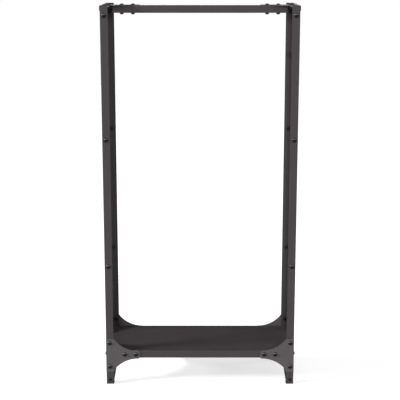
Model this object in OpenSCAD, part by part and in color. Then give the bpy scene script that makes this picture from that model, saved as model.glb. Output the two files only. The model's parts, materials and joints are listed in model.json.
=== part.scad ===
// Firewood log rack: four angle-iron posts joined by bolted base rails, curved gussets and a top frame.
// Origin: centre of the footprint, on the floor. +Z is up and the open front faces -Y.

/* [Rack] */
// Outer width over the posts
rack_w = 500; // [420:1:900]
// Outer depth over the posts
rack_d = 200; // [190:1:400]
// Overall height, floor to post tops
rack_h = 1000; // [600:1:1600]

/* [Steel sections] */
// Leg width of a post angle
post_leg = 20; // [18:0.5:30]
// Wall of posts, rails and top tube
steel_t = 1.2; // [0.8:0.1:1.6]
// Outside radius of a bend
bend_r = 2; // [1.8:0.1:3]
// Rounding of the lower flange corners of a post
post_toe_r = 4.5; // [1:0.5:6]
// Height of the base and top rails
rail_h = 20; // [18:0.5:26]
// Inward leg of the base rails
rail_leg = 16; // [12:0.5:17]

/* [Base shelf] */
// Height of the shelf surface above the floor
shelf_z = 93.6; // [92:0.1:140]
// Sheet thickness of the shelf tray
tray_t = 1; // [0.6:0.1:1.5]

/* [Top frame] */
// How far the posts rise above the top rails
post_rise = 6; // [4:0.5:20]
// Inward leg of the side top rails
top_leg = 12.8; // [12.5:0.1:15]
// Height of the lip that hooks over the posts' side flanges
hook_lip = 13; // [8:0.5:16]
// Length of the tab folded down behind a front or rear flange
tab_drop = 29; // [26:0.5:40]
// Distance of the tab from the outer side
tab_u = 4; // [3.8:0.1:5]
// Gap between the rear tube's end and a side rail
tube_end_gap = 3.5; // [0.5:0.1:5]
// Bolt through a top gusset's plate into a side rail, from the rear face
top_leg_bolt_v = 42; // [36:0.5:46]
// First tube bolt, from the outer side
top_near_bolt = 41.7; // [36:0.1:46]
// Second tube bolt, from the outer side
top_far_bolt = 71.3; // [64:0.1:76]

/* [Gussets] */
// Plate thickness of every gusset
gusset_t = 1.5; // [1:0.1:3]
// Length of a gusset along its rail
gusset_reach = 89.5; // [86:0.5:92]
// Radius of the concave edges
gusset_arc = 80; // [70:1:90]
// Rise of a base gusset above the shelf
gusset_rise = 33.6; // [30:0.1:50]
// Rounding at the end of a gusset
gusset_end_r = 4.5; // [2:0.5:8]
// How far a base gusset dips below its rail
gusset_dip = 1.6; // [0:0.1:4]
// Height of the lower end of a base gusset
gusset_low_z = 34; // [30:0.5:36]
// Width of the lower end of a base gusset
gusset_low_w = 19.8; // [16:0.1:24]
// Width of a base gusset at its lower tip
gusset_tip_w = 27; // [25:0.5:30]
// Height of a base gusset's upper post bolt above the shelf
gusset_upper_bolt = 21.7; // [18:0.1:24]
// Height of its lower post bolt above its lower end
gusset_lower_bolt = 15.3; // [12:0.1:18]

/* [Feet] */
// Height of the moulded foot plug
foot_h = 56; // [50:0.5:60]
// Wall of the foot plug
foot_wall = 3; // [2:0.1:4]
// Thickness of the sole under the post
foot_sole = 2; // [1:0.1:4]
// Width of the plug at the floor
foot_low_w = 19.4; // [16:0.1:24]
// Width of the plug at its shoulder
foot_top_w = 27; // [22:0.5:32]
// Thickness of the diagonal rib inside the plug
foot_rib = 1.5; // [1:0.1:3]

/* [Fasteners] */
// Shank diameter of the bolts
bolt_d = 6; // [4:0.5:6]
// Diameter of a bolt's domed head
head_d = 12; // [9:0.5:13]
// Height of a bolt's domed head
head_h = 3.3; // [2:0.1:4]
// Width across the flats of a square nut
nut_w = 10; // [8:0.5:10]
// Thickness of a square nut
nut_t = 3.2; // [2:0.1:3.4]
// Length of a bolt past its nut
bolt_tip = 1.3; // [0.5:0.1:2]
// Distance of the post bolts from the outer side
bolt_inset = 9.7; // [9.5:0.1:11]
// Distance of the side bolts from the front or rear face
side_bolt_v = 10; // [9:0.1:11]
// Height of the lower free bolt of a post
low_post_bolt_z = 326; // [180:1:500]
// Height of the middle free bolt of a post
mid_post_bolt_z = 661; // [520:1:900]
// Distance of the highest bolt of a post below the post's top
high_post_bolt = 25; // [20:0.5:60]
// First gusset bolt along a rail
near_bolt = 50; // [46:0.5:55]
// Second gusset bolt along a rail
far_bolt = 79; // [74:0.5:80]
// Shank diameter of the foot screws
screw_d = 4; // [3:0.1:5]
// Height of the foot screws above the floor
screw_z = 12; // [10:0.5:20]

/* [Fits] */
// Added to a shank for its hole
hole_clear = 0.4; // [0.2:0.1:1]
// Gap left between pieces that are slid together
slide_gap = 0.2; // [0.1:0.05:0.5]

/* [Hidden] */

$fn = 64;
LEFT = 0;
RIGHT = 1;
FRONT = 0;
REAR = 1;

// Colours of the finishes
POWDER = "#4b4849";
POWDER_LIGHT = "#5f5a5b";
POWDER_DARK = "#3e3a3b";
PLASTIC = "#1c1b1c";

// In a corner's own frame, u runs inward from the outer side face, v inward from the outer front or
// rear face, and z up from the floor.
rail_z = shelf_z - rail_h;
top_z = rack_h - post_rise;
top_rail_z = top_z - rail_h;
hole_d = bolt_d + hole_clear;
bend_clear = bend_r + slide_gap;
overcut = 1;
ARC_FACETS = 128;

// Layers from the outer side face inward: post flange, side gusset, side rail, tray lip.
side_rail_u = steel_t + gusset_t;
tray_u = side_rail_u + steel_t + slide_gap;
tray_v = steel_t + slide_gap;
tube_v = steel_t + slide_gap;
plate_gap = 2 * slide_gap;

// The hook of a side top rail: a half ring around the top of a post's side flange.
hook_r = steel_t + slide_gap + steel_t / 2;
hook_z = rack_h - hook_r;
hook_wall_u = steel_t + slide_gap;
tab_v = steel_t + slide_gap;
top_leg_u = hook_wall_u + top_leg;
tube_u = top_leg_u + tube_end_gap;

// Heights of the bolts
rail_bolt_z = rail_z + rail_h / 2;
gusset_post_bolt_z = shelf_z + gusset_upper_bolt;
gusset_low_bolt_z = gusset_low_z + gusset_lower_bolt;
tab_bolt_z = rack_h - high_post_bolt;
post_bolt_z = [low_post_bolt_z, mid_post_bolt_z];

// Lengths under the head
nut_grip = nut_t + bolt_tip;
front_grip = gusset_t + tray_v + tray_t;
side_grip = tray_u + tray_t;
tab_grip = tab_v + steel_t;
top_grip = gusset_t + rail_h;

// ---------------------------------------------------------------- helpers

// Places a piece drawn in the front left corner's frame at any of the four corners.
module corner(side, face) {
    mirror([side, 0, 0])
        mirror([0, face, 0])
            translate([-rack_w / 2, -rack_d / 2, 0])
                children();
}

module each_corner() {
    for (side = [LEFT, RIGHT], face = [FRONT, REAR])
        corner(side, face) children();
}

// Axis pointing inward from the front or rear face.
module from_face(u, v, z) {
    translate([u, v, z]) rotate([-90, 0, 0]) children();
}

// Axis pointing inward from the side face.
module from_side(u, v, z) {
    translate([u, v, z]) rotate([0, 90, 0]) children();
}

// Axis pointing down from a horizontal plate.
module from_top(u, v, z) {
    translate([u, v, z]) rotate([180, 0, 0]) children();
}

// Draws an outline in the u-z plane and gives it a thickness along v.
module sheet_uz(v, thickness) {
    translate([0, v + thickness, 0]) rotate([90, 0, 0]) linear_extrude(thickness) children();
}

// Draws an outline in the v-z plane and gives it a thickness along u.
module sheet_vz(u, thickness) {
    translate([u, 0, 0]) rotate([90, 0, 90]) linear_extrude(thickness) children();
}

// Bent angle section with a rounded outer bend at the origin.
module angle_section(leg_a, leg_b) {
    translate([bend_r, 0]) square([leg_a - bend_r, steel_t]);
    translate([0, bend_r]) square([steel_t, leg_b - bend_r]);
    intersection() {
        translate([bend_r, bend_r])
            difference() {
                circle(bend_r);
                circle(bend_r - steel_t);
            }
        square(bend_r);
    }
}

module hole(d, depth) {
    translate([0, 0, -overcut]) cylinder(d = d, h = depth + 2 * overcut);
}

// Domed bolt: the head stands on the plate at z = 0 and the shank runs along +z.
module bolt(shank_d, cap_d, cap_h, reach) {
    cap_r = (cap_d * cap_d / 4 + cap_h * cap_h) / (2 * cap_h);
    mirror([0, 0, 1])
        rotate_extrude()
            intersection() {
                translate([0, cap_h - cap_r]) circle(cap_r);
                square([cap_d / 2, cap_h]);
            }
    cylinder(d = shank_d, h = reach);
}

module frame_bolt(grip) {
    bolt(bolt_d, head_d, head_h, grip + nut_grip);
}

module square_nut() {
    difference() {
        translate([-nut_w / 2, -nut_w / 2, 0]) cube([nut_w, nut_w, nut_t]);
        hole(bolt_d + slide_gap, nut_t);
    }
}

// ---------------------------------------------------------------- posts

module post_toe_cut() {
    for (turn = [0, 1])
        mirror([turn, -turn, 0])
            translate([post_leg - post_toe_r, -overcut, foot_sole])
                difference() {
                    translate([0, 0, -overcut])
                        cube([post_toe_r + overcut, steel_t + 2 * overcut, post_toe_r + overcut]);
                    translate([0, -overcut, post_toe_r])
                        rotate([-90, 0, 0]) cylinder(r = post_toe_r, h = steel_t + 4 * overcut);
                }
}

module post(side, face) {
    color(POWDER)
        corner(side, face)
            difference() {
                translate([0, 0, foot_sole])
                    linear_extrude(rack_h - foot_sole) angle_section(post_leg, post_leg);
                post_toe_cut();
                translate([-overcut, bend_r, hook_z])
                    cube([post_leg + overcut, post_leg, hook_r + overcut]);
                for (z = concat(post_bolt_z, [tab_bolt_z, gusset_post_bolt_z, gusset_low_bolt_z]))
                    from_face(bolt_inset, 0, z) hole(hole_d, steel_t);
                from_face(bolt_inset, 0, screw_z) hole(screw_d + hole_clear, steel_t);
                from_side(0, side_bolt_v, rail_bolt_z) hole(hole_d, steel_t);
            }
}

// ---------------------------------------------------------------- base

module base_rail_long(face) {
    length = rack_w - 2 * (post_leg + slide_gap);
    color(POWDER)
        difference() {
            mirror([0, face, 0])
                translate([-length / 2, -rack_d / 2, rail_z])
                    rotate([90, 0, 90]) linear_extrude(length) angle_section(rail_leg, rail_h);
            for (side = [LEFT, RIGHT], u = [near_bolt, far_bolt])
                corner(side, face) from_face(u, 0, rail_bolt_z) hole(hole_d, steel_t);
        }
}

module base_rail_side(side) {
    length = rack_d - 2 * bend_clear;
    color(POWDER)
        difference() {
            mirror([side, 0, 0])
                translate([-rack_w / 2 + side_rail_u, length / 2, rail_z])
                    rotate([90, 0, 0]) linear_extrude(length) angle_section(rail_leg, rail_h);
            for (face = [FRONT, REAR], v = [side_bolt_v, near_bolt, far_bolt])
                corner(side, face) from_side(side_rail_u, v, rail_bolt_z) hole(hole_d, steel_t);
        }
}

// Folded tray: a flat shelf with a lip turned down on all four sides, ending above the rails' bends.
module base_tray() {
    tray_w = rack_w - 2 * tray_u;
    tray_d = rack_d - 2 * tray_v;
    tray_low_z = rail_z + bend_clear;
    color(POWDER_DARK)
        difference() {
            translate([-tray_w / 2, -tray_d / 2, tray_low_z])
                cube([tray_w, tray_d, shelf_z - tray_low_z]);
            translate([-tray_w / 2 + tray_t, -tray_d / 2 + tray_t, tray_low_z - overcut])
                cube([tray_w - 2 * tray_t, tray_d - 2 * tray_t, shelf_z - tray_low_z - tray_t + overcut]);
            each_corner() {
                for (u = [near_bolt, far_bolt])
                    from_face(u, tray_v, rail_bolt_z) hole(hole_d, tray_t);
                for (v = [side_bolt_v, near_bolt, far_bolt])
                    from_side(tray_u, v, rail_bolt_z) hole(hole_d, tray_t);
            }
        }
}

// ---------------------------------------------------------------- gussets

gusset_arc_u = gusset_reach - gusset_end_r;
gusset_arm_z = rail_z - gusset_dip;
gusset_tip_z = gusset_arm_z - gusset_arc + sqrt(pow(gusset_arc, 2) - pow(gusset_arc_u - gusset_tip_w, 2));

// Arm along the rail with a rounded free end.
module gusset_arm(low, high) {
    translate([0, low]) square([gusset_arc_u, high - low]);
    translate([gusset_arc_u, low + gusset_end_r])
        square([gusset_end_r, high - low - 2 * gusset_end_r]);
    intersection() {
        for (y = [low + gusset_end_r, high - gusset_end_r])
            translate([gusset_arc_u, y]) circle(gusset_end_r);
        translate([gusset_arc_u - overcut, low]) square([gusset_end_r + overcut, high - low]);
    }
}

// Corner plate: an upright and an arm joined by two concave arcs. The slanted edge of the lower end
// runs on a twentieth of its length into the plate, so that it crosses the lower arc at the tip.
module gusset_outline() {
    run_on = 1 + 1 / 20;
    slant_w = gusset_low_w + run_on * (gusset_tip_w - gusset_low_w);
    slant_z = gusset_low_z + run_on * (gusset_tip_z - gusset_low_z);
    gusset_arm(gusset_arm_z, shelf_z);
    difference() {
        translate([0, gusset_low_z])
            square([gusset_arc_u, shelf_z + gusset_rise - gusset_low_z]);
        translate([gusset_arc_u, shelf_z + gusset_arc]) circle(gusset_arc, $fn = ARC_FACETS);
        translate([gusset_arc_u, gusset_arm_z - gusset_arc]) circle(gusset_arc, $fn = ARC_FACETS);
    }
    polygon([[0, gusset_low_z], [gusset_low_w, gusset_low_z], [slant_w, slant_z], [0, slant_z]]);
}

module gusset(side, face) {
    color(POWDER_LIGHT)
        corner(side, face)
            difference() {
                sheet_uz(-gusset_t, gusset_t) gusset_outline();
                for (u = [near_bolt, far_bolt])
                    from_face(u, -gusset_t, rail_bolt_z) hole(hole_d, gusset_t);
                for (z = [gusset_post_bolt_z, gusset_low_bolt_z])
                    from_face(bolt_inset, -gusset_t, z) hole(hole_d, gusset_t);
            }
}

// The side gussets lie inside the post flanges and stop above the foot plugs.
module side_gusset(side, face) {
    low = foot_h + slide_gap;
    color(POWDER_LIGHT)
        corner(side, face)
            difference() {
                sheet_vz(steel_t, gusset_t)
                    intersection() {
                        gusset_outline();
                        translate([bend_clear, low]) square([gusset_reach, rack_h]);
                    }
                for (v = [side_bolt_v, near_bolt, far_bolt])
                    from_side(steel_t, v, rail_bolt_z) hole(hole_d, gusset_t);
            }
}

// ---------------------------------------------------------------- top frame

// Section of a side top rail's outer edge, seen along v: a lip outside the post's side flange, a half
// ring over the flange and a wall that turns inward into the leg.
module hook_section() {
    translate([steel_t / 2 - hook_r, rack_h - hook_lip]) square([steel_t, hook_lip - hook_r]);
    intersection() {
        translate([steel_t / 2, hook_z])
            difference() {
                circle(hook_r);
                circle(hook_r - steel_t);
            }
        translate([-hook_r, hook_z]) square([2 * hook_r + steel_t, hook_r]);
    }
    translate([hook_wall_u, top_z - steel_t])
        angle_section(tab_u - hook_wall_u, hook_z - top_z + steel_t);
}

// Leg of a side top rail, seen from the side, with a tab folded down at either end.
module leg_section() {
    for (face = [FRONT, REAR])
        translate([face * rack_d, 0])
            mirror([face, 0])
                translate([tab_v, top_z])
                    mirror([0, 1]) angle_section(rack_d / 2 - tab_v, tab_drop);
}

module top_rail_side(side) {
    color(POWDER)
        difference() {
            corner(side, FRONT) {
                sheet_uz(bend_clear, rack_d - 2 * bend_clear) hook_section();
                sheet_vz(tab_u, top_leg_u - tab_u) leg_section();
            }
            for (face = [FRONT, REAR])
                corner(side, face) from_face(bolt_inset, tab_v, tab_bolt_z) hole(hole_d, steel_t);
            corner(side, REAR) from_top(bolt_inset, top_leg_bolt_v, top_z) hole(hole_d, steel_t);
        }
}

tube_mid_v = tube_v + rail_h / 2;

module top_rail_rear() {
    length = rack_w - 2 * tube_u;
    color(POWDER)
        difference() {
            translate([-length / 2, rack_d / 2 - tube_v - rail_h, top_rail_z])
                cube([length, rail_h, rail_h]);
            translate([-length / 2 - overcut, rack_d / 2 - tube_v - rail_h + steel_t, top_rail_z + steel_t])
                cube([length + 2 * overcut, rail_h - 2 * steel_t, rail_h - 2 * steel_t]);
            for (side = [LEFT, RIGHT], u = [top_near_bolt, top_far_bolt])
                corner(side, REAR) from_top(u, tube_mid_v, top_z) hole(hole_d, rail_h);
        }
}

// Flat plate over the rear tube and the side rail, with the same concave edge as the base gussets.
module top_gusset(side) {
    arm_v = tube_v + rail_h;
    leg_v = arm_v + gusset_rise;
    edge_u = hook_wall_u + bend_clear;
    edge_v = steel_t + plate_gap;
    color(POWDER_LIGHT)
        corner(side, REAR)
            difference() {
                translate([0, 0, top_z])
                    linear_extrude(gusset_t)
                        intersection() {
                            union() {
                                gusset_arm(0, arm_v);
                                difference() {
                                    square([gusset_arc_u, leg_v]);
                                    translate([gusset_arc_u, arm_v + gusset_arc])
                                        circle(gusset_arc, $fn = ARC_FACETS);
                                }
                            }
                            translate([edge_u, edge_v]) square([gusset_reach, leg_v]);
                        }
                for (u = [top_near_bolt, top_far_bolt])
                    from_top(u, tube_mid_v, top_z + gusset_t) hole(hole_d, gusset_t);
                from_top(bolt_inset, top_leg_bolt_v, top_z + gusset_t) hole(hole_d, gusset_t);
            }
}

// ---------------------------------------------------------------- feet

// One tapered wall of the plug, seen from outside.
module foot_wall_outline() {
    polygon([
        [bend_clear, foot_sole], [foot_low_w, foot_sole], [foot_top_w, gusset_tip_z],
        [foot_top_w - foot_wall, foot_h], [bend_clear, foot_h]
    ]);
}

// Moulded plug inside the post's corner: two tapered walls on a sole, stiffened by a diagonal rib.
module foot(side, face) {
    rib_h = gusset_low_z;
    rib_l = post_leg - foot_wall;
    color(PLASTIC)
        corner(side, face)
            difference() {
                union() {
                    linear_extrude(foot_sole)
                        intersection() {
                            square(post_leg);
                            union() {
                                translate([bend_r, bend_r]) circle(bend_r);
                                translate([bend_r, 0]) square([post_leg - bend_r, post_leg]);
                                translate([0, bend_r]) square([post_leg, post_leg - bend_r]);
                            }
                        }
                    sheet_uz(steel_t, foot_wall) foot_wall_outline();
                    sheet_vz(steel_t, foot_wall) foot_wall_outline();
                    translate([bend_clear, bend_clear, foot_sole])
                        rotate([0, 0, 45])
                            translate([0, -foot_rib / 2, 0]) cube([rib_l, foot_rib, rib_h]);
                }
                from_face(bolt_inset, steel_t, gusset_low_bolt_z) hole(hole_d, foot_wall);
                from_face(bolt_inset, steel_t, screw_z) hole(screw_d + hole_clear, foot_wall);
            }
}

// ---------------------------------------------------------------- fasteners

// Bolts through the front and rear gussets: two into the rail, two into the post.
module gusset_bolts() {
    color(POWDER_LIGHT)
        each_corner() {
            for (u = [near_bolt, far_bolt])
                from_face(u, -gusset_t, rail_bolt_z) frame_bolt(front_grip);
            from_face(bolt_inset, -gusset_t, gusset_post_bolt_z) frame_bolt(gusset_t + steel_t);
            from_face(bolt_inset, -gusset_t, gusset_low_bolt_z)
                frame_bolt(gusset_t + steel_t + foot_wall);
        }
}

module gusset_nuts() {
    color(POWDER_DARK)
        each_corner() {
            for (u = [near_bolt, far_bolt])
                from_face(u, tray_v + tray_t, rail_bolt_z) square_nut();
            from_face(bolt_inset, steel_t, gusset_post_bolt_z) square_nut();
            from_face(bolt_inset, steel_t + foot_wall, gusset_low_bolt_z) square_nut();
        }
}

// Bolts through the sides: post to base rail, and side gusset to base rail.
module side_bolts() {
    color(POWDER_LIGHT)
        each_corner() {
            from_side(0, side_bolt_v, rail_bolt_z) frame_bolt(side_grip);
            for (v = [near_bolt, far_bolt])
                from_side(steel_t, v, rail_bolt_z) frame_bolt(side_grip - steel_t);
        }
}

module side_nuts() {
    color(POWDER_DARK)
        each_corner()
            for (v = [side_bolt_v, near_bolt, far_bolt])
                from_side(side_grip, v, rail_bolt_z) square_nut();
}

// Bolts in the posts' faces: two in the post alone and the highest through a rail's tab.
module post_bolts() {
    color(POWDER_LIGHT)
        each_corner() {
            for (z = post_bolt_z)
                from_face(bolt_inset, 0, z) frame_bolt(steel_t);
            from_face(bolt_inset, 0, tab_bolt_z) frame_bolt(tab_grip);
        }
}

module post_nuts() {
    color(POWDER_DARK)
        each_corner() {
            for (z = post_bolt_z)
                from_face(bolt_inset, steel_t, z) square_nut();
            from_face(bolt_inset, tab_grip, tab_bolt_z) square_nut();
        }
}

module top_gusset_bolts() {
    color(POWDER_LIGHT)
        for (side = [LEFT, RIGHT])
            corner(side, REAR) {
                for (u = [top_near_bolt, top_far_bolt])
                    from_top(u, tube_mid_v, top_z + gusset_t) frame_bolt(top_grip);
                from_top(bolt_inset, top_leg_bolt_v, top_z + gusset_t) frame_bolt(gusset_t + steel_t);
            }
}

module top_gusset_nuts() {
    color(POWDER_DARK)
        for (side = [LEFT, RIGHT])
            corner(side, REAR) {
                for (u = [top_near_bolt, top_far_bolt])
                    from_top(u, tube_mid_v, top_rail_z) square_nut();
                from_top(bolt_inset, top_leg_bolt_v, top_z - steel_t) square_nut();
            }
}

module foot_screws() {
    color(POWDER_DARK)
        each_corner()
            from_face(bolt_inset, 0, screw_z)
                bolt(screw_d, 2 * screw_d, screw_d / 2, steel_t + foot_wall + bolt_tip);
}

// ---------------------------------------------------------------- nodes

post(LEFT, FRONT);  // post_front_left
post(RIGHT, FRONT);  // post_front_right
post(LEFT, REAR);  // post_rear_left
post(RIGHT, REAR);  // post_rear_right
base_rail_long(FRONT);  // base_rail_front
base_rail_long(REAR);  // base_rail_rear
base_rail_side(LEFT);  // base_rail_left
base_rail_side(RIGHT);  // base_rail_right
base_tray();
top_rail_side(LEFT);  // top_rail_left
top_rail_side(RIGHT);  // top_rail_right
top_rail_rear();
gusset(LEFT, FRONT);  // gusset_front_left
gusset(RIGHT, FRONT);  // gusset_front_right
gusset(LEFT, REAR);  // gusset_rear_left
gusset(RIGHT, REAR);  // gusset_rear_right
side_gusset(LEFT, FRONT);  // side_gusset_front_left
side_gusset(RIGHT, FRONT);  // side_gusset_front_right
side_gusset(LEFT, REAR);  // side_gusset_rear_left
side_gusset(RIGHT, REAR);  // side_gusset_rear_right
top_gusset(LEFT);  // top_gusset_left
top_gusset(RIGHT);  // top_gusset_right
foot(LEFT, FRONT);  // foot_front_left
foot(RIGHT, FRONT);  // foot_front_right
foot(LEFT, REAR);  // foot_rear_left
foot(RIGHT, REAR);  // foot_rear_right
gusset_bolts();
gusset_nuts();
side_bolts();
side_nuts();
post_bolts();
post_nuts();
top_gusset_bolts();
top_gusset_nuts();
foot_screws();
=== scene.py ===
# %% [markdown]
# # A bolted firewood rack
#
# The rack is a tall open frame of bent angle steel: four posts on black moulded feet, a folded shelf
# low down, curved corner plates, and a light frame at the top. Every sheet is powder coated in a
# satin dark grey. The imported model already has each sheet, rail and plate at its real size, so this
# lesson leaves those meshes as they are and gives them their finish. The small hardware is worth
# modelling closely, so the bolts, the nuts and the moulded feet are made here as new surfaces. All
# lengths are in metres, and MM is a millimetre.

# %% Set-up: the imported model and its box
import json
import math

import bmesh
import bpy
import numpy as np
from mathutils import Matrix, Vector


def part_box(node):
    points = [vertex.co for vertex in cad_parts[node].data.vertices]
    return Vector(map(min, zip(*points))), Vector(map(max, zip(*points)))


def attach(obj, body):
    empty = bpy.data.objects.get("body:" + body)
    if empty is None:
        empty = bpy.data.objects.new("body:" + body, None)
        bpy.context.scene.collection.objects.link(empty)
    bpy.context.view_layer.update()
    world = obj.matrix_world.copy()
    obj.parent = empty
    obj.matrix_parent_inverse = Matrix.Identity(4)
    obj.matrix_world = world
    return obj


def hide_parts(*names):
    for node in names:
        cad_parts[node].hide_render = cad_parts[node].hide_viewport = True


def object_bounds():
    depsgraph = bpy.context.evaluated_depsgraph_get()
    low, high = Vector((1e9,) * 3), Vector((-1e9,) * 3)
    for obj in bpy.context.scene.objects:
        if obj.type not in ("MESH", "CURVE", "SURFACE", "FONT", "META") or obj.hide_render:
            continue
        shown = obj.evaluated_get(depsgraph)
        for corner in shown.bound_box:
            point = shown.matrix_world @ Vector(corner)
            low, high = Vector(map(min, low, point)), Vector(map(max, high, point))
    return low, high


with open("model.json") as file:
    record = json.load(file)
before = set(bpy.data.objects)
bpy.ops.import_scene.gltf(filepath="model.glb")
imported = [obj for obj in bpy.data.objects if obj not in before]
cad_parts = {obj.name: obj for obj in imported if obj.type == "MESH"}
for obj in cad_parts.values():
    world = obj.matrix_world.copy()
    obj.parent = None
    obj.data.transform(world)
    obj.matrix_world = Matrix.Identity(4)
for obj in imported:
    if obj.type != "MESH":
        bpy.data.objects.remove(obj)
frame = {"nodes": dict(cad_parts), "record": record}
cad_lo, cad_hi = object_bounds()
MM = 0.001
print("CAD box", [round(v, 4) for v in cad_lo], [round(v, 4) for v in cad_hi])

# %% [markdown]
# ## The camera
#
# The rack is seen from the front and from a little above its top, so that the shelf shows its upper
# face and the rear posts stand just inside the front ones. How far inside they stand depends only on
# the distance, so the distance is chosen first. A level camera with a large lens shift would keep the
# posts upright, but it would cut off the rack when it is seen from elsewhere. So the camera is tipped
# down until the rack fills the height of the frame, and a small shift takes a little of the tip away.
# Blender takes the lens and the sensor in millimetres.

# %% Camera
CAMERA_DISTANCE = 2.65
CAMERA_RISE = 0.10
CAMERA_TIP = math.radians(12.0)
SENSOR_WIDTH = 36.0
LENS_LENGTH = 94.68
LENS_SHIFT = -0.03

camera_data = bpy.data.cameras.new("camera")
camera_data.sensor_width = SENSOR_WIDTH
camera_data.lens = LENS_LENGTH
camera_data.shift_y = LENS_SHIFT
camera = bpy.data.objects.new("camera", camera_data)
front_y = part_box("post_front_left")[0][1]
camera.location = (0.0, front_y - CAMERA_DISTANCE, cad_hi[2] + CAMERA_RISE)
camera.rotation_euler = (math.pi / 2 - CAMERA_TIP, 0.0, 0.0)
bpy.context.scene.collection.objects.link(camera)
bpy.context.scene.camera = camera
print("lens", round(camera_data.lens, 1), "mm")

# %% [markdown]
# ## Helpers for shader nodes
#
# A material is a graph of nodes. It could be drawn by hand in the shader editor, but a script can be
# read, repeated and changed in one place. The first helper gives a node's inputs their values or joins
# them to other nodes, the second adds a node, and the third starts a material with its shader.

# %% Node helpers
def feed(node, inputs):
    """Gives a node's inputs their values, or joins them to the outputs of other nodes."""
    for key, value in inputs.items():
        if isinstance(value, bpy.types.NodeSocket):
            node.id_data.links.new(value, node.inputs[key])
        else:
            node.inputs[key].default_value = value


def add_node(tree, kind, place, inputs=None, **settings):
    """Adds a node at a place in the editor, sets its properties and feeds its inputs."""
    node = tree.nodes.new(kind)
    node.location = place
    for key, value in settings.items():
        setattr(node, key, value)
    feed(node, inputs or {})
    return node


def new_material(name):
    """An empty node material with its Principled shader and output."""
    material = bpy.data.materials.new(name)
    material.use_nodes = True
    tree = material.node_tree
    tree.nodes.clear()
    shader = add_node(tree, "ShaderNodeBsdfPrincipled", (600, 0))
    add_node(tree, "ShaderNodeOutputMaterial", (900, 0), {"Surface": shader.outputs["BSDF"]})
    return material, tree, shader


WHITE = (1.0, 1.0, 1.0, 1.0)
print("node helpers ready")

# %% [markdown]
# ## Floor
#
# The rack stands on a plain white floor that runs into white surroundings without a horizon. Stronger
# lamps could make the floor white, but they would wash out the dark coat. So the floor is matte and a
# shade below white, it receives the rack's shadow, and a small glow lifts it to white. Only rays that
# come straight from the camera, off a glossy surface or through glass see that glow.

# %% Floor
FLOOR_SIZE = 14.0
FLOOR_TONE = 0.8
FLOOR_ROUGHNESS = 0.9
FLOOR_LIFT = 0.62


def seen_mask(tree):
    """A mask that is 1 for rays that show a surface and 0 for rays that carry its light."""
    path = add_node(tree, "ShaderNodeLightPath", (-400, -200)).outputs
    glossy = {0: path["Is Camera Ray"], 1: path["Is Glossy Ray"]}
    shown = add_node(tree, "ShaderNodeMath", (-200, -200), glossy, operation="MAXIMUM")
    clear = {0: shown.outputs[0], 1: path["Is Transmission Ray"]}
    return add_node(tree, "ShaderNodeMath", (0, -200), clear, operation="MAXIMUM").outputs[0]


def floor_finish():
    """Matte white, with a glow that doesn't light anything."""
    material, tree, shader = new_material("floor_white")
    glow = {0: seen_mask(tree), 1: FLOOR_LIFT}
    lift = add_node(tree, "ShaderNodeMath", (200, -200), glow, operation="MULTIPLY")
    feed(shader, {
        "Base Color": (FLOOR_TONE, FLOOR_TONE, FLOOR_TONE, 1.0),
        "Roughness": FLOOR_ROUGHNESS,
        "Specular IOR Level": 0.0,
        "Emission Color": WHITE,
        "Emission Strength": lift.outputs[0],
    })
    return material


def flat_sheet(name, size, z):
    """A square at height z. Its points are (u, v, z), with u and v at plus and minus half the size."""
    u, v = np.meshgrid([-size / 2, size / 2], [-size / 2, size / 2], indexing="ij")
    points = np.stack([u, v, np.full_like(u, z)], -1).reshape(-1, 3)
    mesh = bpy.data.meshes.new(name)
    mesh.from_pydata(points.tolist(), [], [(0, 2, 3, 1)])
    sheet = bpy.data.objects.new(name, mesh)
    bpy.context.scene.collection.objects.link(sheet)
    return sheet


floor = flat_sheet("floor", FLOOR_SIZE, cad_lo[2])
floor.data.materials.append(floor_finish())
print("floor at", round(cad_lo[2], 4))

# %% [markdown]
# ## White room
#
# The surroundings are a plain white room. One brightness for everything would either light the rack
# too flatly or turn the room grey. So the world is white where it is seen and much dimmer as a light.

# %% World
ROOM_LIGHT = 0.19
ROOM_SEEN = 1.0


def white_room():
    """Makes a world that shows as white and lights the rack weakly."""
    world = bpy.data.worlds.new("room")
    bpy.context.scene.world = world
    world.use_nodes = True
    tree = world.node_tree
    tree.nodes.clear()
    span = {"Value": seen_mask(tree), "To Min": ROOM_LIGHT, "To Max": ROOM_SEEN}
    level = add_node(tree, "ShaderNodeMapRange", (200, 0), span).outputs["Result"]
    room = add_node(tree, "ShaderNodeBackground", (400, 0), {"Color": WHITE, "Strength": level})
    add_node(tree, "ShaderNodeOutputWorld", (600, 0), {"Surface": room.outputs[0]})


white_room()
print("room", bpy.context.scene.world.name)

# %% [markdown]
# ## Lamps
#
# A distant lamp in front and a soft box high at the right light the rack evenly. Two low lamps at the
# left shine through the rack's open left side. The first is a box that is wide but flat, so a level
# edge throws a crisp shadow: the left top rail draws a band on the right rear post, and the low corner
# plates darken the left part of the shelf. The second lights the inner faces of the right posts. Two
# weak fills keep the right side and the back readable. Every lamp is placed by its direction from the
# rack's middle, which is easier to adjust than three coordinates.

# %% Lamps
MIDDLE = (Vector(cad_lo) + Vector(cad_hi)) / 2
FAR_LAMP_DISTANCE = 3.0


def toward(azimuth, elevation):
    """The direction to a lamp. Azimuth 0 is in front, at -Y, and 90 is at the left, at -X."""
    a, e = math.radians(azimuth), math.radians(elevation)
    return Vector((-math.sin(a) * math.cos(e), -math.cos(a) * math.cos(e), math.sin(e)))


def hang(name, data, azimuth, elevation, distance):
    """Hangs a lamp in that direction from the rack's middle, facing the rack."""
    lamp = bpy.data.objects.new(name, data)
    lamp.location = MIDDLE + distance * toward(azimuth, elevation)
    lamp.rotation_euler = (-toward(azimuth, elevation)).to_track_quat("-Z", "Y").to_euler()
    bpy.context.scene.collection.objects.link(lamp)


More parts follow.
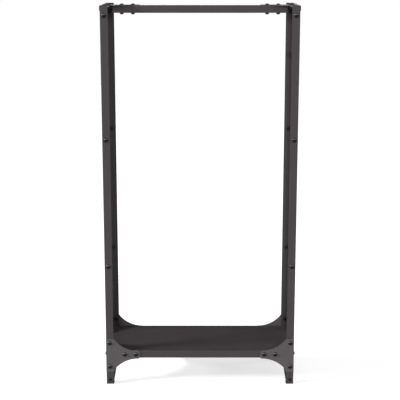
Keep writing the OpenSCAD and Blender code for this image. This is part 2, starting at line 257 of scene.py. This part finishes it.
def box_lamp(name, azimuth, elevation, distance, size, light):
    """An area lamp of that width and height, which gives this light where the rack stands."""
    data = bpy.data.lights.new(name, "AREA")
    data.shape = "RECTANGLE"
    data.size, data.size_y = size
    data.energy = light * math.pi * distance**2
    hang(name, data, azimuth, elevation, distance)


def far_lamp(name, azimuth, elevation, spread, light):
    """A lamp that shines like a distant sun, with rays that spread by that many degrees."""
    data = bpy.data.lights.new(name, "SUN")
    data.energy = light
    data.angle = math.radians(spread)
    hang(name, data, azimuth, elevation, FAR_LAMP_DISTANCE)


far_lamp("front", azimuth=2.0, elevation=12.0, spread=5.0, light=0.62)
box_lamp("high_right", azimuth=-30.0, elevation=50.0, distance=3.0, size=(1.2, 1.2), light=0.68)
box_lamp("low_left", azimuth=76.0, elevation=16.6, distance=12.0, size=(2.6, 0.2), light=3.8)
far_lamp("side", azimuth=92.0, elevation=14.0, spread=4.0, light=1.4)
far_lamp("fill_right", azimuth=-105.0, elevation=22.0, spread=20.0, light=0.45)
far_lamp("fill_back", azimuth=170.0, elevation=22.0, spread=20.0, light=0.4)

# %% [markdown]
# ## Powder coat: orange peel
#
# Powder coat is a baked plastic skin. Up close it is finely dimpled, like the peel of an orange, and
# its tone and gloss drift a little from place to place. Real dimples would need millions of faces, so
# a fine noise tips the normals instead, and a coarse noise moves the tone and the gloss together. It
# is a shader group, because every coated piece uses it with values of its own.

# %% Shader group: orange peel
NUMBER = "NodeSocketFloat"
COLOUR = "NodeSocketColor"
PEEL_DETAIL = 1.5
DRIFT_SCALE = 14.0
DRIFT_DETAIL = 4.0
TONE_PER_DRIFT = 4.0
GLOSS_PER_DRIFT = 1.6


def group_tree(name, inputs, outputs):
    """A new shader group whose inputs and outputs are given as names with their kinds."""
    tree = bpy.data.node_groups.new(name, "ShaderNodeTree")
    for label, kind in inputs.items():
        tree.interface.new_socket(name=label, in_out="INPUT", socket_type=kind)
    for label, kind in outputs.items():
        tree.interface.new_socket(name=label, in_out="OUTPUT", socket_type=kind)
    return tree, add_node(tree, "NodeGroupInput", (-700, 0)).outputs


def orange_peel_group():
    """Colour, roughness and height of a coated surface.

    With n a coarse noise from 0 to 1 and s = (n - 0.5) drift, the colour is multiplied by 1 + 4 s and
    the roughness grows by 1.6 s. The height is a fine noise."""
    tree, given = group_tree(
        "orange_peel",
        {"Color": COLOUR, "Peel Scale": NUMBER, "Drift": NUMBER, "Roughness": NUMBER},
        {"Color": COLOUR, "Roughness": NUMBER, "Height": NUMBER},
    )
    place = add_node(tree, "ShaderNodeTexCoord", (-700, -300)).outputs["Object"]
    fine = {"Vector": place, "Scale": given["Peel Scale"], "Detail": PEEL_DETAIL}
    peel = add_node(tree, "ShaderNodeTexNoise", (-400, -300), fine)
    coarse = {"Vector": place, "Scale": DRIFT_SCALE, "Detail": DRIFT_DETAIL}
    cloud = add_node(tree, "ShaderNodeTexNoise", (-400, 100), coarse)
    around = {0: cloud.outputs["Fac"], 1: 0.5}
    centred = add_node(tree, "ShaderNodeMath", (-200, 100), around, operation="SUBTRACT")
    scaled = {0: centred.outputs[0], 1: given["Drift"]}
    swing = add_node(tree, "ShaderNodeMath", (0, 100), scaled, operation="MULTIPLY").outputs[0]
    lighter = {0: swing, 1: TONE_PER_DRIFT, 2: 1.0}
    factor = add_node(tree, "ShaderNodeMath", (200, 200), lighter, operation="MULTIPLY_ADD")
    shaded = {0: given["Color"], "Scale": factor.outputs[0]}
    tone = add_node(tree, "ShaderNodeVectorMath", (400, 200), shaded, operation="SCALE")
    duller = {0: swing, 1: GLOSS_PER_DRIFT, 2: given["Roughness"]}
    gloss = add_node(tree, "ShaderNodeMath", (400, 0), duller, operation="MULTIPLY_ADD")
    add_node(tree, "NodeGroupOutput", (700, 0), {
        "Color": tone.outputs[0], "Roughness": gloss.outputs[0], "Height": peel.outputs["Fac"],
    })
    return tree


ORANGE_PEEL = orange_peel_group()
print("group", ORANGE_PEEL.name)

# %% [markdown]
# ## Powder coat: thin edges and painted edge highlights
#
# The coat pulls back from sharp edges while it bakes, and a rounded edge catches the light. Both are given
# here as a paler tone on the edges: partly a thinner coat, partly a painted highlight. The edges could be
# painted or marked one by one, but a Bevel node finds them all: it gives the normal that a rounded edge
# would have, and where that leans away from the true one, an edge is near.

# %% Shader group: thin coat and painted highlight on edges
EDGE_RADIUS = 0.6 * MM
EDGE_SAMPLES = 4
LEAN_FLAT = 0.995
LEAN_EDGE = 0.8


def edge_highlight_and_thin_coat_group():
    """A mask that is 0 on a flat and grows to Amount on an edge.

    It runs between two values of the dot product of the rounded and the true normal."""
    tree, given = group_tree("edge_highlight_and_thin_coat", {"Amount": NUMBER}, {"Mask": NUMBER})
    rounded = add_node(tree, "ShaderNodeBevel", (-500, 0), {"Radius": EDGE_RADIUS}, samples=EDGE_SAMPLES)
    true = add_node(tree, "ShaderNodeNewGeometry", (-500, -200))
    normals = {0: rounded.outputs["Normal"], 1: true.outputs["Normal"]}
    lean = add_node(tree, "ShaderNodeVectorMath", (-300, 0), normals, operation="DOT_PRODUCT")
    span = {"Value": lean.outputs["Value"], "From Min": LEAN_FLAT, "From Max": LEAN_EDGE}
    near = add_node(tree, "ShaderNodeMapRange", (-100, 0), span)
    share = {0: near.outputs["Result"], 1: given["Amount"]}
    mask = add_node(tree, "ShaderNodeMath", (100, 0), share, operation="MULTIPLY")
    add_node(tree, "NodeGroupOutput", (300, 0), {"Mask": mask.outputs[0]})
    return tree


EDGE_HIGHLIGHT_AND_THIN_COAT = edge_highlight_and_thin_coat_group()
print("group", EDGE_HIGHLIGHT_AND_THIN_COAT.name)

# %% [markdown]
# ## The finishes
#
# The posts and rails are dark grey, the corner plates are a paler grey, the shelf is the darkest and
# dullest sheet, the fasteners are black and the feet are black plastic. All of them are plastic skins,
# so one function makes every finish from the two groups instead of a graph for each. Tones are written
# as display levels from 0 to 255, as a colour chart gives them. The sheen is kept very low, because
# the white room would otherwise show in the dark coat as a grey veil.

# %% Finishes
PEEL_SCALE = 900.0
PEEL_STRENGTH = 0.2
PEEL_DEPTH = 0.12 * MM
DRIFT = 0.06


def linear(level):
    """A display level from 0 to 255 as linear light, by the standard curve of displays."""
    v = level / 255
    return v / 12.92 if v <= 0.04045 else ((v + 0.055) / 1.055) ** 2.4


def linear_colour(tone):
    """Three display levels as an opaque linear colour."""
    return (*[linear(level) for level in tone], 1.0)


def coated(name, tone, edge_highlight_tone, roughness, sheen=0.25, edge=0.5, peel_scale=PEEL_SCALE):
    """A coated finish. edge is how far its edges go to their own paler tone, partly a thinner coat and
    partly a painted highlight. sheen is its specular level.
    """
    material, tree, shader = new_material(name)
    skin = {"Color": linear_colour(tone), "Roughness": roughness, "Peel Scale": peel_scale, "Drift": DRIFT}
    peel = add_node(tree, "ShaderNodeGroup", (-200, 100), skin, node_tree=ORANGE_PEEL).outputs
    rim = add_node(tree, "ShaderNodeGroup", (-200, -200), {"Amount": edge}, node_tree=EDGE_HIGHLIGHT_AND_THIN_COAT)
    # The paler edge tone is partly a thinner coat and partly a painted highlight on the edges.
    tones = {"Factor": rim.outputs["Mask"], "A": peel["Color"], "B": linear_colour(edge_highlight_tone)}
    blend = add_node(tree, "ShaderNodeMix", (200, 100), tones, data_type="RGBA")
    dimples = {"Strength": PEEL_STRENGTH, "Distance": PEEL_DEPTH, "Height": peel["Height"]}
    relief = add_node(tree, "ShaderNodeBump", (200, -200), dimples)
    feed(shader, {
        "Base Color": blend.outputs["Result"],
        "Roughness": peel["Roughness"],
        "Normal": relief.outputs["Normal"],
        "Specular IOR Level": sheen,
    })
    return material


FRAME_COAT = coated("frame_coat", (73, 69, 70), (80, 76, 77), roughness=0.55, sheen=0.05)
GUSSET_COAT = coated("gusset_coat", (92, 88, 89), (98, 94, 95), roughness=0.5, sheen=0.05)
SHELF_COAT = coated("shelf_coat", (66, 62, 63), (80, 77, 78), roughness=0.6, sheen=0.0)
NUT_COAT = coated("nut_coat", (34, 33, 34), (60, 59, 60), roughness=0.42, edge=0.4)
FOOT_PLASTIC = coated("foot_plastic", (30, 30, 31), (46, 46, 47), 0.6, edge=0.4, peel_scale=600.0)
BOLT_COAT = coated("bolt_coat", (22, 21, 22), (36, 35, 36), roughness=0.34, sheen=0.08, edge=0.3)
SCREW_COAT = coated("screw_coat", (22, 21, 22), (34, 33, 34), roughness=0.4, sheen=0.08, edge=0.3)
print(len(bpy.data.materials), "materials")

# %% [markdown]
# ## Painted highlight on the bolt heads
#
# A black domed bolt head shines where it faces the high lamps and stays dark below. That highlight is
# painted into its colour as a paler tone on the part that faces up. It could be a painted mask on each
# head, but the normal already says which way a surface faces, so one mask from its upward part serves
# every bolt. The painted highlight ends before the steep rim, which stays black.

# %% Painted highlight on the bolts
def smooth_mask(tree, place, value, off, full):
    """A mask that goes smoothly from 0 where the value is off to 1 where it is full."""
    span = {"Value": value, "From Min": off, "From Max": full}
    step = add_node(tree, "ShaderNodeMapRange", place, span, interpolation_type="SMOOTHSTEP")
    return step.outputs["Result"]


def paint_upward_highlight(material, tone, start, full, fade, gone):
    """Paints a highlight into a finish where it faces up.

    With the normal's upward part the painted highlight tone grows from start to full, and it leaves again
    from fade to gone."""
    tree = material.node_tree
    shader = next(n for n in tree.nodes if n.type == "BSDF_PRINCIPLED")
    below = shader.inputs["Base Color"].links[0].from_socket
    facing = add_node(tree, "ShaderNodeNewGeometry", (-200, 500)).outputs["Normal"]
    up = add_node(tree, "ShaderNodeSeparateXYZ", (0, 500), {0: facing}).outputs["Z"]
    grown = smooth_mask(tree, (200, 400), up, start, full)
    kept = smooth_mask(tree, (200, 700), up, gone, fade)
    highlight_mask = add_node(tree, "ShaderNodeMath", (400, 500), {0: grown, 1: kept}, operation="MULTIPLY")
    tones = {"Factor": highlight_mask.outputs[0], "A": below, "B": linear_colour(tone)}
    blend = add_node(tree, "ShaderNodeMix", (400, 200), tones, data_type="RGBA")
    feed(shader, {"Base Color": blend.outputs["Result"]})


# A painted highlight: a paler tone on the upward part of every black bolt head.
paint_upward_highlight(BOLT_COAT, (108, 106, 106), start=0.24, full=0.42, fade=0.46, gone=0.60)
print("painted_highlight_on", BOLT_COAT.name)

# %% [markdown]
# ## Finish on the steel
#
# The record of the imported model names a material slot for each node, by what the piece is made of.
# Each node could be given its finish by hand, but with one table from slot to finish no node is left
# without one.

# %% Finish on the steel
SLOT_FINISH = {
    "frame_coat": FRAME_COAT,
    "gusset_coat": GUSSET_COAT,
    "shelf_coat": SHELF_COAT,
    "bolts": BOLT_COAT,
    "nuts": NUT_COAT,
    "plastic": FOOT_PLASTIC,
}
slot_of = {part["node"]: part["material_slot"] for part in frame["record"]["subparts"]}
for name, piece in frame["nodes"].items():
    piece.data.materials.clear()
    piece.data.materials.append(SLOT_FINISH[slot_of[name]])
print(len(slot_of), "nodes finished")

# %% [markdown]
# ## Hardware: where it sits
#
# The rack is held by small domed bolts with square nuts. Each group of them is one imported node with
# many separate solids. Their places could be typed in again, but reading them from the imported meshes
# keeps them true. The solids are told apart by their place across the bolts' axis, and each gives its
# own box. A head always sits on the outside of the rack, so a bolt's axis points inward.

# %% Places of the fasteners
X, Y, Z = 0, 1, 2
GROUP_AXIS = {
    "gusset_bolts": Y, "side_bolts": X, "post_bolts": Y, "top_gusset_bolts": Z, "foot_screws": Y,
    "gusset_nuts": Y, "side_nuts": X, "post_nuts": Y, "top_gusset_nuts": Z,
}
REACH = 14.5 * MM


def corners_of(name):
    """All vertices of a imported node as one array."""
    mesh = frame["nodes"][name].data
    flat = np.empty(len(mesh.vertices) * 3)
    mesh.vertices.foreach_get("co", flat)
    return flat.reshape(-1, 3)


def solids_of(name):
    """The boxes of a group's solids.

    A solid's vertices are those within REACH of its first one, measured across the axis. On a group
    along X or Y they also lie on the same side of the rack's middle."""
    axis = GROUP_AXIS[name]
    across = [i for i in (X, Y, Z) if i != axis]
    points = corners_of(name)
    boxes = []
    while len(points):
        near = np.linalg.norm(points[:, across] - points[0, across], axis=1) < REACH
        if axis != Z:
            near &= np.sign(points[:, axis]) == np.sign(points[0, axis])
        boxes.append((points[near].min(0), points[near].max(0)))
        points = points[~near]
    return boxes


def inward_frame(axis, lo, hi):
    """A rotation whose third column points inward from the outer end of a box, and that end."""
    middle = (lo + hi) / 2
    inward = -1.0 if axis == Z or middle[axis] > 0 else 1.0
    third = inward * np.eye(3)[axis]
    first = np.eye(3)[Y if axis == X else X]
    start = middle.copy()
    start[axis] = lo[axis] if inward > 0 else hi[axis]
    return np.stack([first, np.cross(third, first), third], 1), start


places = {name: solids_of(name) for name in GROUP_AXIS}
print({name: len(found) for name, found in places.items()})

# %% [markdown]
# ## Hardware: turned and ring-shaped surfaces
#
# A bolt is round, so its surface is a profile turned about its axis, as on a lathe. A nut is a closed
# ring. Cylinders and cubes from Blender's menu would need cutting and joining to get a dome, a thread
# or a bore. One grid of points, a ring for each step of the section, gives all of that directly.

# %% Surfaces from rings
TURNS = 32


def ring_quads(rings, turns, closed):
    """Four-sided faces between each ring and the next. closed joins the last ring to the first."""
    i, j = np.meshgrid(np.arange(rings if closed else rings - 1), np.arange(turns), indexing="ij")
    above, after = (i + 1) % rings, (j + 1) % turns
    corners = [i * turns + j, i * turns + after, above * turns + after, above * turns + j]
    return np.stack(corners, -1).reshape(-1, 4)


def turned(radius, height, wind):
    """A profile turned about Z: the points (r cos a, r sin a, h), closed by a fan at each pole.

    radius and height give the profile from one pole to the other, and wind(a, h) is added to r."""
    a = np.linspace(0, 2 * math.pi, TURNS, endpoint=False)
    h = np.repeat(height[1:-1, None], TURNS, 1)
    r = radius[1:-1, None] + wind(a, h)
    rings = np.stack([r * np.cos(a), r * np.sin(a), h], -1).reshape(-1, 3)
    points = np.vstack([[0, 0, height[0]], rings, [0, 0, height[-1]]])
    quads = 1 + ring_quads(len(radius) - 2, TURNS, closed=False)
    last_point = len(points) - 1
    last_ring = last_point - TURNS
    step = np.arange(TURNS)
    after = (step + 1) % TURNS
    first_fan = np.stack([np.zeros_like(step), 1 + after, 1 + step], -1)
    last_fan = np.stack([np.full_like(step, last_point), last_ring + step, last_ring + after], -1)
    return points, quads, np.vstack([first_fan, last_fan])


def outward(points, quads, fans):
    """The same faces, all turned to face outward, judged by the sign of the enclosed volume."""
    corners = points[np.vstack([quads[:, [0, 1, 2]], quads[:, [0, 2, 3]], fans])]
    volume = np.einsum("ij,ij->i", corners[:, 0], np.cross(corners[:, 1], corners[:, 2])).sum()
    return (quads, fans) if volume > 0 else (quads[:, ::-1], fans[:, ::-1])


print("rings of", TURNS, "points")

# %% [markdown]
# ## Hardware: from shapes to pieces
#
# The real fasteners of a group are all alike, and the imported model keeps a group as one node. Dozens
# of separate objects would clutter the scene, so one new piece holds a whole group and stands for its
# node. Smooth shading with sharp edges over a set angle keeps the domes round and the flats flat.

# %% Pieces of the rack
HARDWARE_SHARP = math.radians(35)


def shade(mesh, sharp_angle):
    """Smooth shading, with an edge kept sharp where its faces meet at more than the angle."""
    mesh.polygons.foreach_set("use_smooth", [True] * len(mesh.polygons))
    mesh.set_sharp_from_angle(angle=sharp_angle)


def new_piece(name, mesh, material, node):
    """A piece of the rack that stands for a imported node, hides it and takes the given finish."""
    piece = bpy.data.objects.new(name, mesh)
    bpy.context.scene.collection.objects.link(piece)
    piece.data.materials.append(material)
    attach(piece, "root")
    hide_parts(node)
    return piece


def place_all(name, shapes, material, node):
    """Makes one piece from many shapes, each (points, quads, fans, rotation, start)."""
    points, faces, base = [], [], 0
    for shape, quads, fans, rotation, start in shapes:
        points.append(shape @ rotation.T + start)
        faces += (quads + base).tolist() + (fans + base).tolist()
        base += len(shape)
    mesh = bpy.data.meshes.new(name)
    mesh.from_pydata(np.vstack(points).tolist(), [], faces)
    mesh.validate()
    shade(mesh, HARDWARE_SHARP)
    new_piece(name, mesh, material, node)
    print(name, len(mesh.polygons), "faces")


print("hardware sharp over", round(math.degrees(HARDWARE_SHARP)), "degrees")

# %% [markdown]
# ## Hardware: bolts
#
# A bolt has a domed head on a short straight rim, and a shank that is threaded up to just under the
# head. A thread could be a helix swept along the shank and joined to it. Here it is only a ripple of
# the radius whose phase turns once per pitch, so it winds as a right-handed screw and the surface
# stays one closed skin. The small screws of the feet are the same bolt at two thirds of its size.

# %% Bolts and foot screws
BOLT = {
    "head_radius": 6.0 * MM,
    "head_height": 3.3 * MM,
    "rim": 0.5 * MM,
    "shank": 3.0 * MM,
    "pitch": 1.0 * MM,
    "depth": 0.28 * MM,
}
SCREW_SCALE = 2.0 / 3.0
SCREW = {key: size * SCREW_SCALE for key, size in BOLT.items()} | {"head_height": 2.0 * MM}
CAP_RINGS = 10
RINGS_PER_PITCH = 5
RIM_BREAK = 0.1
HEAD_BACK = 0.97
SHANK_ROOT = 1.02
SHANK_TIP = 0.78
FIRST_RING = 0.2
THREAD_RUNOUT = 0.25


def bolt_profile(length, size):
    """Radius and height from the crown of the head to the tip of the shank.

    The cap is r = R sin t, h = R (1 - cos t), where R is the radius of a ball through crown and rim."""
    head_radius, head_height, shank = size["head_radius"], size["head_height"], size["shank"]
    rise = head_height - size["rim"]
    ball = (head_radius**2 + rise**2) / (2 * rise)
    t = np.linspace(0, math.asin(head_radius / ball), CAP_RINGS)
    step = size["pitch"] / RINGS_PER_PITCH
    shaft = np.arange(head_height, length - step, step)
    cap = np.stack([ball * np.sin(t), ball * (1 - np.cos(t))], -1)
    rim = (head_radius, head_height - RIM_BREAK * size["rim"])
    back = (HEAD_BACK * head_radius, head_height)
    root = (SHANK_ROOT * shank, head_height)
    side = np.stack([np.full_like(shaft, shank), shaft + FIRST_RING * step], -1)
    tip = (SHANK_TIP * shank, length)
    return np.vstack([cap, rim, back, root, side, tip, (0, length)]).T


def thread(length, size):
    """The radius ripple of a right-handed thread, from one pitch under the head to near the tip.

    It is -depth (1 - cos(2 pi h / pitch - a)) / 2."""
    pitch = size["pitch"]
    start, end = size["head_height"] + pitch, length - THREAD_RUNOUT * pitch

    def ripple(a, h):
        inside = (h > start) & (h < end)
        return -size["depth"] * inside * (1 - np.cos(2 * math.pi * (h / pitch) - a)) / 2

    return ripple


def make_bolts(node, material, size):
    """Makes every bolt of a group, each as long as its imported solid."""
    axis = GROUP_AXIS[node]
    shapes = []
    for lo, hi in places[node]:
        length = hi[axis] - lo[axis]
        points, quads, fans = turned(*bolt_profile(length, size), thread(length, size))
        shapes.append((points, *outward(points, quads, fans), *inward_frame(axis, lo, hi)))
    place_all(node + "_turned", shapes, material, node)


make_bolts("gusset_bolts", BOLT_COAT, BOLT)
make_bolts("side_bolts", BOLT_COAT, BOLT)
make_bolts("post_bolts", BOLT_COAT, BOLT)
make_bolts("top_gusset_bolts", SCREW_COAT, BOLT)
make_bolts("foot_screws", SCREW_COAT, SCREW)

# %% [markdown]
# ## Hardware: square nuts
#
# The nuts inside the rack are square, with a small chamfer and a bore for the bolt. A cube with a hole
# cut by a Boolean modifier would do, but it leaves long thin faces. As a closed ring the nut has even
# faces: around the axis its outer radius follows a square whose corners are cut by a circle, and along
# the section it goes up the outer wall, over the chamfer, across the face, down the bore and back.

# %% Nuts
NUT_TURNS = 48
NUT_CORNER = 6.5 * MM
NUT_CHAMFER = 0.4 * MM
BORE = 3.08 * MM


def nut_ring(width, thickness):
    """A square ring: the points (r cos a, r sin a, h) of a closed section carried round the axis.

    The outer radius is min(w / 2 / max(|cos a|, |sin a|), corner), and the inner one is the bore."""
    a = np.linspace(0, 2 * math.pi, NUT_TURNS, endpoint=False)
    wall = np.minimum(width / 2 / np.maximum(np.abs(np.cos(a)), np.abs(np.sin(a))), NUT_CORNER)
    inset = wall - NUT_CHAMFER * wall / (width / 2)
    hole = np.full_like(a, BORE)
    mouth = hole + NUT_CHAMFER
    radii = np.stack([inset, wall, wall, inset, mouth, hole, hole, mouth])
    low, high = NUT_CHAMFER, thickness - NUT_CHAMFER
    section = np.array([0, low, high, thickness, thickness, high, low, 0])
    heights = np.repeat(section[:, None], NUT_TURNS, 1)
    points = np.stack([radii * np.cos(a), radii * np.sin(a), heights], -1).reshape(-1, 3)
    return points, ring_quads(len(radii), NUT_TURNS, closed=True), np.zeros((0, 3), int)


def make_nuts(node, material):
    """Makes every nut of a group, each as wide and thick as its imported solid."""
    axis = GROUP_AXIS[node]
    shapes = []
    for lo, hi in places[node]:
        size = hi - lo
        points, quads, fans = nut_ring(max(size), size[axis])
        shapes.append((points, *outward(points, quads, fans), *inward_frame(axis, lo, hi)))
    place_all(node + "_chamfered", shapes, material, node)


for group in ("gusset_nuts", "side_nuts", "post_nuts", "top_gusset_nuts"):
    make_nuts(group, NUT_COAT)

# %% [markdown]
# ## Moulded feet
#
# A black plastic plug closes the foot of each post. A moulded part has no razor edge, and it shows
# where light runs along it. The form could be built anew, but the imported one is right, so each foot is
# a copy of it: triangles merged, flat faces joined, and a modifier puts a small round on the edges.

# %% Feet
FOOT_ROUND = 0.4 * MM
ROUND_SEGMENTS = 2
FOOT_SHARP = math.radians(40)
MERGE = 0.01 * MM
FLAT = math.radians(1)


def round_off(node, name, material):
    """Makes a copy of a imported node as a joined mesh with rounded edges, which stands for it."""
    joined = bmesh.new()
    joined.from_mesh(frame["nodes"][node].data)
    bmesh.ops.remove_doubles(joined, verts=joined.verts, dist=MERGE)
    bmesh.ops.dissolve_limit(joined, angle_limit=FLAT, verts=joined.verts, edges=joined.edges)
    mesh = bpy.data.meshes.new(name)
    joined.to_mesh(mesh)
    joined.free()
    shade(mesh, FOOT_SHARP)
    edge = new_piece(name, mesh, material, node).modifiers.new("edge_round", "BEVEL")
    edge.width = FOOT_ROUND
    edge.segments = ROUND_SEGMENTS
    edge.limit_method = "ANGLE"
    edge.angle_limit = FOOT_SHARP


for face in ("front", "rear"):
    for side in ("left", "right"):
        foot = f"foot_{face}_{side}"
        round_off(foot, foot + "_moulded", FOOT_PLASTIC)

# %% [markdown]
#
# The looks must not change the rack's size. The new pieces could be measured one by one, but the box of
# the whole rack says enough; it is written out as packed, where the model is imported.

# %% View settings
bpy.context.scene.view_settings.view_transform = "Standard"
